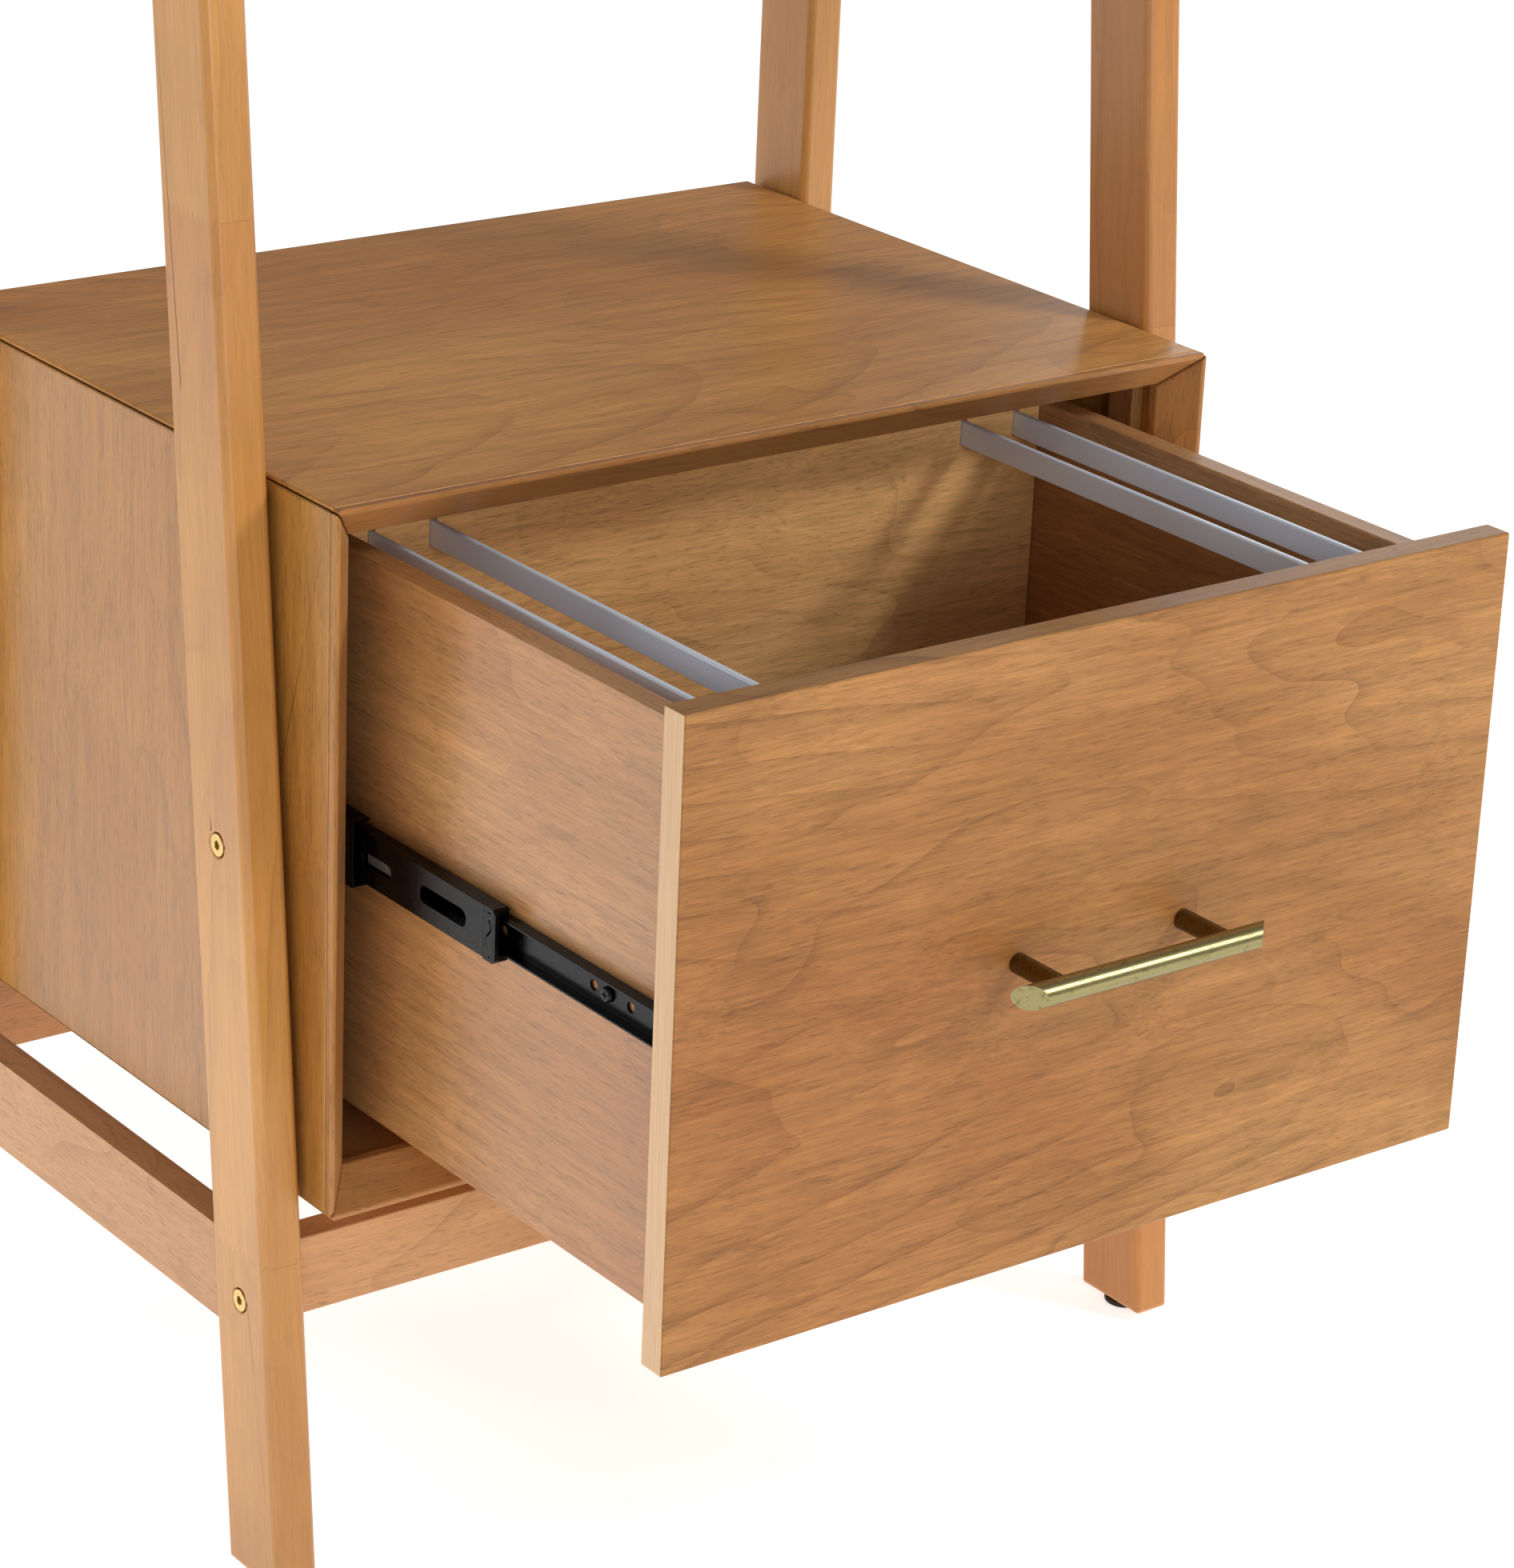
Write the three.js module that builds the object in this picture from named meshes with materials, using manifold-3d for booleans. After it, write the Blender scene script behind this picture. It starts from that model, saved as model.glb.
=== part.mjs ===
// File-drawer cabinet slung between four splayed legs, with one drawer on
// side-mounted telescopic slides.  Millimetres, +Z up, drawer front faces -Y.
// The drawer is modelled part-way open; its joint's zero is this position.
import * as THREE from 'three';
import { mergeVertices } from 'three/addons/utils/BufferGeometryUtils.js';
import Module from 'manifold-3d';

const wasm = await Module();
wasm.setup();

// ---------------------------------------------------------------- dimensions
const GAP = 0.3;                 // running gap kept between touching pieces

// drawer front: lower edge height and size
const FRONT_Z0 = 218.5, FRONT_W = 470, FRONT_H = 305, FRONT_T = 15;
const FRONT_ZM = FRONT_Z0 + FRONT_H / 2;

// origin shift: the drawer front's face is y = 0 while pieces are laid out,
// and the whole group is then moved so that the box is centred on the origin
const Y_SHIFT = -292.45;

// cabinet
const CAB_W = 510.4, CAB_Z0 = 197.6, CAB_Z1 = 546.0;
const CAB_Y0 = 236.0, CAB_D = 383.5, CAB_Y1 = CAB_Y0 + CAB_D;
const PANEL_T = 15;
const LIP_SIDE = 17.3, LIP_TOP = 18.6;      // how far the front frame reaches in
const NOSE = 2.6, BEVEL_D = 16.7, LIPPING = 4.5;
const CORNER = 2.6;                          // chamfer along the outer corners
const BACK_T = 6, BACK_REBATE = 7, BACK_INSET = 2.0;

// drawer box
const BOX_HALF_W = 219.4, SIDE_T = 12, BOX_Z0 = 233.8, BOX_Z1 = 509.1;
const BACK_Y0 = 305.2, BACK_Y1 = 317.2;
const BOTTOM_Z0 = 243.8, BOTTOM_T = 6, GROOVE = 4.6;

// hanging-file rails
const RAIL_X = [-192.1, -158.3, 158.3, 192.1];
const RAIL_T = 3.5, RAIL_H = 12.5, RAIL_TOP = 505.8, RAIL_SEAT = 4.7;

// slides
const SLIDE_Z = FRONT_ZM - 0.5;
const SL_DRAWER = { y0: 15.5, y1: 315.5, half: 8.75, xin: 219.7, xout: 225.9, t: 1.2 };
const SL_MID = { y0: 152, y1: 416, half: 12.5, xin: 221.4, xout: 229.2, t: 1.2 };
const SL_CAB = { y0: 256, y1: 556, half: 16.5, xin: 222.6, xout: 232.1, t: 1.2 };
const PACKER_X0 = 232.4, PACKER_X1 = CAB_W / 2 - PANEL_T - GAP;

// legs and stretchers
const LEG_X0 = 258.4, LEG_X1 = 281.0, LEG_D = 48, LEG_CH = 3.0;
const LEG_Z0 = 4.0, LEG_Z1 = 790, LEG_LEAN = 0.092;
const frontLegY = (z) => 256.2 + LEG_LEAN * (z - FRONT_Z0);
const BACK_LEG_Y = 575.4;
const STR_TOP = 175.5, STR_SIDE_Z0 = 127, STR_CROSS_Z0 = 135.5;
const STR_SIDE_X0 = 261.3, STR_SIDE_X1 = 278.1;
const BOLT_UP_Z = 372.3, BOLT_LOW_Z = 147.4;
const BOLT_HEAD_R = 5.5, BOLT_HEAD_T = 2.4, BOLT_R = 3.0;

// handle
const HANDLE_Y = -32.6, HANDLE_R = 5.9, HANDLE_HALF = 68, POST_R = 4.9, POST_X = 48;
const HANDLE_Z = FRONT_ZM;

// ---------------------------------------------------------------- materials
const paint = (hex, roughness, metalness = 0) =>
  new THREE.MeshStandardMaterial({ color: hex, roughness, metalness });
const MAT = {
  top: () => paint(0x9a6a3a, 0.42), side: () => paint(0xb08550, 0.42),
  edge: () => paint(0xc79a5e, 0.42), bevel: () => paint(0x9c6636, 0.42),
  front: () => paint(0xb78951, 0.42), box: () => paint(0xa8784a, 0.5),
  leg: () => paint(0xc99f6b, 0.42), rail: () => paint(0x9b9b9c, 0.38, 0.8),
  slide: () => paint(0x17181a, 0.35, 0.6), plastic: () => paint(0x101112, 0.45),
  brass: () => paint(0xa59558, 0.32, 0.9), bronze: () => paint(0x5c4a26, 0.4, 0.8),
  bolt: () => paint(0xb79a55, 0.35, 0.9), glide: () => paint(0x241f1b, 0.6),
  back: () => paint(0x8a6238, 0.6), screw: () => paint(0x22242a, 0.4, 0.7),
};

// ---------------------------------------------------------------- helpers
// extrude a polygon along one axis; points are [y,z] for x, [x,z] for y, [x,y] for z
function slab(points, axis, a0, a1, holes = []) {
  const flip = axis === 'y';
  const P = (p) => (flip ? new THREE.Vector2(p[1], p[0]) : new THREE.Vector2(p[0], p[1]));
  const shape = new THREE.Shape(points.map(P));
  for (const h of holes) shape.holes.push(new THREE.Path(h.map(P)));
  const g = new THREE.ExtrudeGeometry(shape, { depth: a1 - a0, bevelEnabled: false, steps: 1 });
  const m = new THREE.Matrix4();
  if (axis === 'x') m.makeBasis(new THREE.Vector3(0, 1, 0), new THREE.Vector3(0, 0, 1), new THREE.Vector3(1, 0, 0));
  if (axis === 'y') m.makeBasis(new THREE.Vector3(0, 0, 1), new THREE.Vector3(1, 0, 0), new THREE.Vector3(0, 1, 0));
  g.applyMatrix4(m);
  const o = { x: [a0, 0, 0], y: [0, a0, 0], z: [0, 0, a0] }[axis];
  g.translate(...o);
  return g;
}
function block(x0, x1, y0, y1, z0, z1) {
  const g = new THREE.BoxGeometry(x1 - x0, y1 - y0, z1 - z0);
  g.translate((x0 + x1) / 2, (y0 + y1) / 2, (z0 + z1) / 2);
  return g;
}
function rod(axis, r, a0, a1, u, v, n = 24) {
  const g = new THREE.CylinderGeometry(r, r, a1 - a0, n);
  const c = (a0 + a1) / 2;
  if (axis === 'x') { g.rotateZ(Math.PI / 2); g.translate(c, u, v); }
  if (axis === 'y') g.translate(u, c, v);
  if (axis === 'z') { g.rotateX(Math.PI / 2); g.translate(u, v, c); }
  return g;
}
const oval = (cy, cz, half, r, n = 8) => {
  const pts = [];
  for (let i = 0; i <= n; i++) { const a = Math.PI / 2 + Math.PI * i / n; pts.push([cy - half + r * Math.cos(a), cz + r * Math.sin(a)]); }
  for (let i = 0; i <= n; i++) { const a = -Math.PI / 2 + Math.PI * i / n; pts.push([cy + half + r * Math.cos(a), cz + r * Math.sin(a)]); }
  return pts;
};
const ring = (cu, cv, r, n = 16) => Array.from({ length: n }, (_, i) => {
  const a = 2 * Math.PI * i / n; return [cu + r * Math.cos(a), cv + r * Math.sin(a)];
});
function solid(geometry) {
  let g = geometry.clone();
  g.deleteAttribute('normal');
  g.deleteAttribute('uv');
  g = mergeVertices(g, 1e-4);
  return new wasm.Manifold(new wasm.Mesh({
    numProp: 3,
    vertProperties: new Float32Array(g.attributes.position.array),
    triVerts: new Uint32Array(g.index.array),
  }));
}
function geometryOf(manifold) {
  const m = manifold.getMesh();
  const g = new THREE.BufferGeometry();
  const n = m.numProp, count = m.vertProperties.length / n, pos = new Float32Array(count * 3);
  for (let i = 0; i < count; i++) for (let k = 0; k < 3; k++) pos[3 * i + k] = m.vertProperties[n * i + k];
  g.setAttribute('position', new THREE.BufferAttribute(pos, 3));
  g.setIndex(new THREE.BufferAttribute(new Uint32Array(m.triVerts), 1));
  g.computeVertexNormals();
  return g;
}
const cut = (base, ...tools) => geometryOf(tools.reduce((s, t) => s.subtract(solid(t)), solid(base)));
const meet = (a, b) => solid(a).intersect(solid(b));
const join = (...gs) => geometryOf(gs.slice(1).reduce((s, t) => s.add(solid(t)), solid(gs[0])));
function add(group, name, geometry, material) {
  const mesh = new THREE.Mesh(geometry, material());
  mesh.name = name;
  group.add(mesh);
  return mesh;
}
const mirrorX = (geometry) => {
  const g = geometry.index ? geometry.toNonIndexed() : geometry.clone();
  const p = g.attributes.position;
  for (let i = 0; i < p.count; i++) p.setX(i, -p.getX(i));
  for (let i = 0; i < p.count; i += 3) {       // keep the faces outward
    for (const a of ['x', 'y', 'z']) {
      const get = { x: 'getX', y: 'getY', z: 'getZ' }[a], set = { x: 'setX', y: 'setY', z: 'setZ' }[a];
      const t = p[get](i + 1); p[set](i + 1, p[get](i + 2)); p[set](i + 2, t);
    }
  }
  g.computeVertexNormals();
  return g;
};

const part = new THREE.Group();
part.position.set(0, Y_SHIFT, 0);
const cabinet = new THREE.Group(), drawer = new THREE.Group(), frame = new THREE.Group();
part.add(cabinet, drawer, frame);

// ---------------------------------------------------------------- cabinet
// u runs inwards from the outer face, v runs back from the front nose
const HALF = CAB_W / 2, ZM = (CAB_Z0 + CAB_Z1) / 2, HALF_H = (CAB_Z1 - CAB_Z0) / 2;
function panelProfile(lip) {
  const slope = BEVEL_D / (lip - NOSE);
  const v0 = LIPPING + GAP;
  return [[0, v0], [NOSE - 0.2, v0], [PANEL_T, v0 + (PANEL_T - NOSE + 0.2) * slope],
    [PANEL_T, CAB_D - BACK_INSET - BACK_T - 2 * GAP], [PANEL_T - BACK_REBATE, CAB_D - BACK_INSET - BACK_T - 2 * GAP],
    [PANEL_T - BACK_REBATE, CAB_D], [0, CAB_D]];
}
function lippingProfile(lip) {
  const slope = BEVEL_D / (lip - NOSE);
  return [[0, 0], [NOSE, 0], [lip, BEVEL_D], [lip, BEVEL_D + 5.5], [PANEL_T + GAP, BEVEL_D + 5.5],
    [PANEL_T + GAP, LIPPING + (PANEL_T + GAP - NOSE + 0.1) * slope], [NOSE - 0.1, LIPPING], [0, LIPPING]];
}
// outline of the mitred, chamfered pieces seen from the front
const MITRE = LIP_SIDE / LIP_TOP;            // x per z along the mitre
const J_X = 0.9, J_Z = CORNER - J_X;         // where the joint meets the chamfer
const OPEN = 0.35;                           // half the open joint line
function topOutline() {                      // [x, z] of the upper piece
  const d = 24;
  return [[-HALF + CORNER, CAB_Z1], [-HALF + J_X + OPEN, CAB_Z1 - J_Z + OPEN],
    [-HALF + J_X + OPEN + d * MITRE, CAB_Z1 - J_Z + OPEN - d],
    [HALF - J_X - OPEN - d * MITRE, CAB_Z1 - J_Z + OPEN - d], [HALF - J_X - OPEN, CAB_Z1 - J_Z + OPEN],
    [HALF - CORNER, CAB_Z1]];
}
function leftOutline() {                     // [x, z] of the left-hand piece
  const d = 22;
  return [[-HALF, CAB_Z1 - CORNER], [-HALF + J_X - OPEN, CAB_Z1 - J_Z - OPEN],
    [-HALF + J_X - OPEN + d, CAB_Z1 - J_Z - OPEN - d / MITRE],
    [-HALF + J_X - OPEN + d, CAB_Z0 + J_Z + OPEN + d / MITRE], [-HALF + J_X - OPEN, CAB_Z0 + J_Z + OPEN],
    [-HALF, CAB_Z0 + CORNER]];
}
const flipZ = (pts) => pts.map(([x, z]) => [x, 2 * ZM - z]).reverse();
function topPiece(profile) {
  const bar = slab(profile.map(([u, v]) => [CAB_Y0 + v, CAB_Z1 - u]), 'x', -HALF - 5, HALF + 5);
  return meet(bar, slab(topOutline(), 'y', CAB_Y0 - 5, CAB_Y1 + 5));
}
function bottomPiece(profile) {
  const bar = slab(profile.map(([u, v]) => [CAB_Y0 + v, CAB_Z0 + u]), 'x', -HALF - 5, HALF + 5);
  return meet(bar, slab(flipZ(topOutline()), 'y', CAB_Y0 - 5, CAB_Y1 + 5));
}
function leftPiece(profile) {
  const bar = slab(profile.map(([u, v]) => [-HALF + u, CAB_Y0 + v]), 'z', CAB_Z0 - 5, CAB_Z1 + 5);
  return meet(bar, slab(leftOutline(), 'y', CAB_Y0 - 5, CAB_Y1 + 5));
}
add(cabinet, 'cabinet_top', geometryOf(topPiece(panelProfile(LIP_TOP))), MAT.top);
add(cabinet, 'cabinet_bottom', geometryOf(bottomPiece(panelProfile(LIP_TOP))), MAT.side);
const legBoltY = { front_up: frontLegY(BOLT_UP_Z) + LEG_D / 2, back: BACK_LEG_Y + LEG_D / 2,
  front_low: frontLegY(BOLT_LOW_Z) + LEG_D / 2, back_low: 613.4 };
const boltBore = [legBoltY.front_up, legBoltY.back].map((y) => rod('x', BOLT_R + GAP, -HALF - 1, -HALF + 13, y, BOLT_UP_Z, 16));
const leftPanel = geometryOf(boltBore.reduce((s, b) => s.subtract(solid(b)), leftPiece(panelProfile(LIP_SIDE))));
add(cabinet, 'cabinet_side_left', leftPanel, MAT.side);
add(cabinet, 'cabinet_side_right', mirrorX(leftPanel), MAT.side);
add(cabinet, 'frame_lipping_top', geometryOf(topPiece(lippingProfile(LIP_TOP))), MAT.bevel);
add(cabinet, 'frame_lipping_bottom', geometryOf(bottomPiece(lippingProfile(LIP_TOP))), MAT.bevel);
const leftLip = geometryOf(leftPiece(lippingProfile(LIP_SIDE)));
add(cabinet, 'frame_lipping_left', leftLip, MAT.edge);
add(cabinet, 'frame_lipping_right', mirrorX(leftLip), MAT.edge);
{
  const in_ = PANEL_T - BACK_REBATE + GAP;
  add(cabinet, 'cabinet_back', block(-HALF + in_, HALF - in_, CAB_Y1 - BACK_INSET - BACK_T, CAB_Y1 - BACK_INSET,
    CAB_Z0 + in_, CAB_Z1 - in_), MAT.back);
}
// slide packers: an upright behind the front frame with an arm under the slide
{
  const z0 = CAB_Z0 + PANEL_T + GAP, z1 = CAB_Z1 - PANEL_T - GAP;
  const t = [[264, z0], [282, z0], [282, SLIDE_Z - 19], [560, SLIDE_Z - 19], [560, SLIDE_Z + 19],
    [282, SLIDE_Z + 19], [282, z1], [264, z1]];
  add(cabinet, 'slide_packer_right', slab(t, 'x', PACKER_X0, PACKER_X1), MAT.edge);
  add(cabinet, 'slide_packer_left', slab(t, 'x', -PACKER_X1, -PACKER_X0), MAT.edge);
}

// ---------------------------------------------------------------- slides
// a channel: web on the far or near side, with round and long holes in the web
function channel(s, webOut, holes) {
  const z0 = SLIDE_Z - s.half, z1 = SLIDE_Z + s.half;
  const webX = webOut ? [s.xout - s.t, s.xout] : [s.xin, s.xin + s.t];
  const web = slab([[s.y0, z0], [s.y1, z0], [s.y1, z1], [s.y0, z1]], 'x', webX[0], webX[1], holes);
  const fl = (a, b) => block(s.xin, s.xout, s.y0, s.y1, a, b);
  return join(web, fl(z0, z0 + s.t), fl(z1 - s.t, z1));
}
const drawerHoles = [50.3, 66.8, 78, 147.5, 210, 262, 288].map((y) => ring(y, SLIDE_Z, y === 66.8 || y === 262 ? 2.2 : 2.6, 16));
const midHoles = [oval(185, SLIDE_Z, 14.8, 4.2), oval(240, SLIDE_Z, 9, 3.2), oval(330, SLIDE_Z, 14, 4.2), ring(390, SLIDE_Z, 3.2)];
const cabHoles = [ring(272, SLIDE_Z, 2.6), oval(310, SLIDE_Z, 5, 2.6), oval(400, SLIDE_Z, 12, 3.6), ring(470, SLIDE_Z, 2.6), ring(540, SLIDE_Z, 2.6)];
const sides = [['right', (g) => g], ['left', mirrorX]];
for (const [side, put] of sides) {
  add(drawer, `slide_drawer_member_${side}`, put(channel(SL_DRAWER, false, drawerHoles)), MAT.slide);
  add(cabinet, `slide_middle_member_${side}`, put(channel(SL_MID, true, midHoles)), MAT.slide);
  add(cabinet, `slide_cabinet_member_${side}`, put(channel(SL_CAB, true, cabHoles)), MAT.slide);
  // plastic end stop: a C that wraps the drawer member's channel
  const z0 = SLIDE_Z - 13.0, z1 = SLIDE_Z + 13.0;
  const stop = join(
    slab([[142, z0 + 2], [144, z0], [152 - GAP, z0], [152 - GAP, z1], [144, z1], [142, z1 - 2]], 'x', SL_MID.xout - 2.0, SL_MID.xout + 0.4),
    slab([[143, z1 - 3.4], [152 - GAP, z1 - 3.4], [152 - GAP, z1], [144, z1], [143, z1 - 1]], 'x', SL_MID.xin, SL_MID.xout - 1),
    slab([[143, z0 + 1], [144, z0], [152 - GAP, z0], [152 - GAP, z0 + 3.4], [143, z0 + 3.4]], 'x', SL_MID.xin, SL_MID.xout - 1));
  add(cabinet, `slide_end_stop_${side}`, put(stop), MAT.plastic);
  // pan-head screw holding the drawer member to the drawer side
  const head = new THREE.LatheGeometry([[0, 0], [3.7, 0], [3.7, 0.9], [2.9, 1.9], [0, 2.2]].map(([r, h]) => new THREE.Vector2(r, h)), 20);
  head.rotateZ(-Math.PI / 2);                 // axis along +X
  head.translate(SL_DRAWER.xin + SL_DRAWER.t + GAP, 66.8, SLIDE_Z);
  const shank = rod('x', 1.8, BOX_HALF_W - 9, SL_DRAWER.xin + SL_DRAWER.t + GAP + 0.5, 66.8, SLIDE_Z, 14);
  const xs = SL_DRAWER.xin + SL_DRAWER.t + GAP + 1.0;
  const screw = cut(join(head, shank), block(xs, xs + 3, 66.8 - 2, 66.8 + 2, SLIDE_Z - 0.4, SLIDE_Z + 0.4),
    block(xs, xs + 3, 66.8 - 0.4, 66.8 + 0.4, SLIDE_Z - 2, SLIDE_Z + 2));
  add(drawer, `slide_screw_${side}`, put(screw), MAT.screw);
}

// ---------------------------------------------------------------- drawer
{
  const pockets = RAIL_X.map((x) => block(x - RAIL_T / 2 - GAP, x + RAIL_T / 2 + GAP, FRONT_T - RAIL_SEAT - GAP, FRONT_T + 1,
    RAIL_TOP - RAIL_H - GAP, RAIL_TOP + GAP));
  const groove = block(-BOX_HALF_W + SIDE_T - GROOVE - GAP, BOX_HALF_W - SIDE_T + GROOVE + GAP, FRONT_T - GROOVE - GAP, FRONT_T + 1,
    BOTTOM_Z0 - GAP, BOTTOM_Z0 + BOTTOM_T + GAP);
  const screws = [-POST_X, POST_X].map((x) => rod('y', 2.3, -1, FRONT_T + 1, x, HANDLE_Z, 16));
  add(drawer, 'drawer_front', cut(block(-FRONT_W / 2, FRONT_W / 2, 0, FRONT_T, FRONT_Z0, FRONT_Z0 + FRONT_H),
    groove, ...pockets, ...screws), MAT.front);
  const side = cut(block(BOX_HALF_W - SIDE_T, BOX_HALF_W, FRONT_T + GAP, BACK_Y1, BOX_Z0, BOX_Z1),
    block(BOX_HALF_W - SIDE_T - 1, BOX_HALF_W - SIDE_T + GROOVE + GAP, FRONT_T - 1, BACK_Y1 + 1, BOTTOM_Z0 - GAP, BOTTOM_Z0 + BOTTOM_T + GAP),
    rod('x', 1.8 + GAP, BOX_HALF_W - 9.5, BOX_HALF_W + 1, 66.8, SLIDE_Z, 14));
  add(drawer, 'drawer_side_right', side, MAT.box);
  add(drawer, 'drawer_side_left', mirrorX(side), MAT.box);
  const slots = RAIL_X.map((x) => block(x - RAIL_T / 2 - GAP, x + RAIL_T / 2 + GAP, BACK_Y0 - 1, BACK_Y1 + 1, RAIL_TOP - RAIL_H - GAP, BOX_Z1 + 1));
  add(drawer, 'drawer_back', cut(block(-BOX_HALF_W + SIDE_T + GAP, BOX_HALF_W - SIDE_T - GAP, BACK_Y0, BACK_Y1,
    BOTTOM_Z0 + BOTTOM_T + GAP, BOX_Z1), ...slots), MAT.box);
  add(drawer, 'drawer_bottom', block(-BOX_HALF_W + SIDE_T - GROOVE, BOX_HALF_W - SIDE_T + GROOVE, FRONT_T - GROOVE, BACK_Y1,
    BOTTOM_Z0, BOTTOM_Z0 + BOTTOM_T), MAT.box);
  ['outer_left', 'inner_left', 'inner_right', 'outer_right'].forEach((n, i) => {
    const x = RAIL_X[i], c = 0.6, a = x - RAIL_T / 2, b = x + RAIL_T / 2, z0 = RAIL_TOP - RAIL_H, z1 = RAIL_TOP;
    add(drawer, `file_rail_${n}`, slab([[a, z0], [b, z0], [b, z1 - c], [b - c, z1], [a + c, z1], [a, z1 - c]], 'y',
      FRONT_T - RAIL_SEAT, BACK_Y1 - 1), MAT.rail);
  });
  // handle: round bar with both ends cut at 45 degrees, on two coped posts
  const long = HANDLE_HALF + HANDLE_R, short = HANDLE_HALF - HANDLE_R;
  const keep = slab([[-short, HANDLE_Y - HANDLE_R], [short, HANDLE_Y - HANDLE_R], [long, HANDLE_Y + HANDLE_R], [-long, HANDLE_Y + HANDLE_R]]
    .map(([x, y]) => [x, y]), 'z', HANDLE_Z - 10, HANDLE_Z + 10);
  add(drawer, 'handle_bar', geometryOf(meet(rod('x', HANDLE_R, -90, 90, HANDLE_Y, HANDLE_Z, 48), keep)), MAT.brass);
  [['left', -POST_X], ['right', POST_X]].forEach(([n, x]) => {
    const post = cut(rod('y', POST_R, HANDLE_Y - 1, -GAP, x, HANDLE_Z, 32),
      rod('x', HANDLE_R + GAP, x - 10, x + 10, HANDLE_Y, HANDLE_Z, 48),
      rod('y', 2.3, -14, 1, x, HANDLE_Z, 16));
    add(drawer, `handle_post_${n}`, post, MAT.bronze);
    const head = new THREE.LatheGeometry([[0, 0], [4.2, 0], [4.2, 1.2], [3.2, 2.3], [0, 2.6]].map(([r, h]) => new THREE.Vector2(r, h)), 24);
    head.translate(x, FRONT_T + GAP, HANDLE_Z);
    const ys = FRONT_T + GAP + 1.3;
    const screw = cut(join(head, rod('y', 2.0, -12, FRONT_T + GAP + 0.5, x, HANDLE_Z, 14)),
      block(x - 2.2, x + 2.2, ys, ys + 3, HANDLE_Z - 0.45, HANDLE_Z + 0.45), block(x - 0.45, x + 0.45, ys, ys + 3, HANDLE_Z - 2.2, HANDLE_Z + 2.2));
    add(drawer, `handle_screw_${n}`, screw, MAT.bolt);
  });
}

// ---------------------------------------------------------------- leg frame
const legSection = (c) => {
  const x0 = LEG_X0, x1 = LEG_X1, d = LEG_D;
  return [[x0 + c, 0], [x1 - c, 0], [x1, c], [x1, d - c], [x1 - c, d], [x0 + c, d], [x0, d - c], [x0, c]];
};
function legSolid(lean, y0) {
  // upright with eased ends, then sheared back by its lean
  const g = slab(legSection(LEG_CH), 'z', LEG_Z0, LEG_Z1);
  const e = 2.0;
  const xzKeep = slab([[LEG_X0 + e, LEG_Z0], [LEG_X1 - e, LEG_Z0], [LEG_X1, LEG_Z0 + e], [LEG_X1, LEG_Z1 - 1], [LEG_X1 - 1, LEG_Z1], [LEG_X0 + 1, LEG_Z1], [LEG_X0, LEG_Z1 - 1], [LEG_X0, LEG_Z0 + e]], 'y', -5, LEG_D + 5);
  const yzKeep = slab([[e, LEG_Z0], [LEG_D - e, LEG_Z0], [LEG_D, LEG_Z0 + e], [LEG_D, LEG_Z1 - 1], [LEG_D - 1, LEG_Z1], [1, LEG_Z1], [0, LEG_Z1 - 1], [0, LEG_Z0 + e]], 'x', LEG_X0 - 5, LEG_X1 + 5);
  const eased = geometryOf(solid(g).intersect(solid(xzKeep)).intersect(solid(yzKeep)));
  const shear = new THREE.Matrix4().set(1, 0, 0, 0, 0, 1, lean, y0 - lean * FRONT_Z0, 0, 0, 1, 0, 0, 0, 0, 1);
  eased.applyMatrix4(shear);
  return eased;
}
const legs = [
  ['front', LEG_LEAN, 256.2, legBoltY.front_up, legBoltY.front_low],
  ['back', 0, BACK_LEG_Y, legBoltY.back, legBoltY.back_low],
];
const glideY = { front: frontLegY(LEG_Z0) + LEG_D / 2, back: BACK_LEG_Y + LEG_D / 2 };
const LEG_XM = (LEG_X0 + LEG_X1) / 2;
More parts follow.
